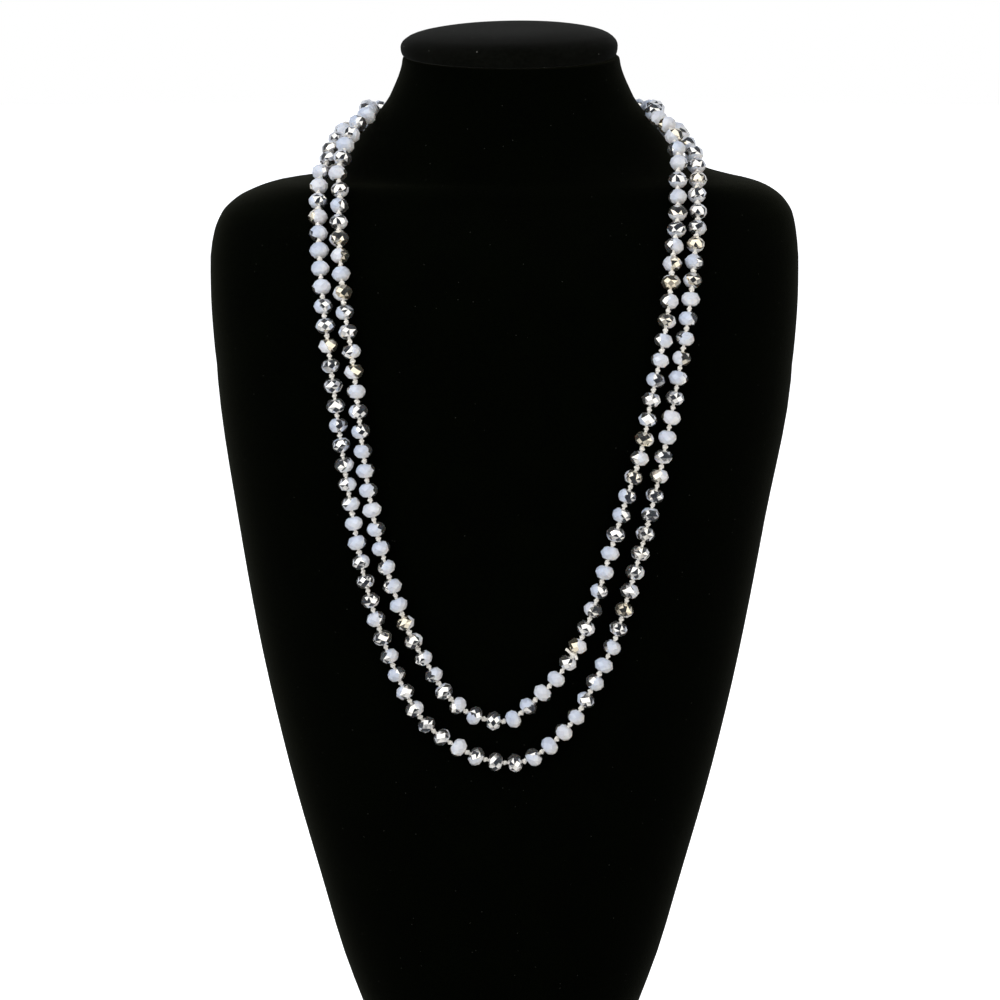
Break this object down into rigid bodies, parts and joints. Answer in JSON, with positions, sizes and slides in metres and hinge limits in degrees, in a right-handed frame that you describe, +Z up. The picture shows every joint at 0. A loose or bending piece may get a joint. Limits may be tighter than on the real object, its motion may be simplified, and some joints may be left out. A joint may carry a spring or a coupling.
{
  "type": "beaded necklace on neck bust",
  "caption": "Long endless necklace of faceted glass rondelle beads, half coated with silver mirror and knotted on its thread, worn doubled round a plain black velvet neck bust.",
  "frame": {"origin": "bottom centre of the bounding box, on the plane the bust's flat base rests on", "axes": "+Z up the bust from its base to the cap; -Y the way the chest and the necklace face; +X the right side as seen from the front"},
  "size_m": [0.25, 0.151, 0.4263],
  "materials": {
    "inner_glass_beads": "milky opal cut glass, one side of each bead silver mirror",
    "outer_glass_beads": "milky opal cut glass, one side of each bead silver mirror",
    "black_velvet": "short-pile black velvet",
    "cap_velvet": "short-pile black velvet"
  },
  "bodies": {
    "root": {"inner_bead_string": "inner_glass_beads", "outer_bead_string": "outer_glass_beads", "neck_bust": "black_velvet", "neck_cap": "cap_velvet"}
  },
  "joints": []
}
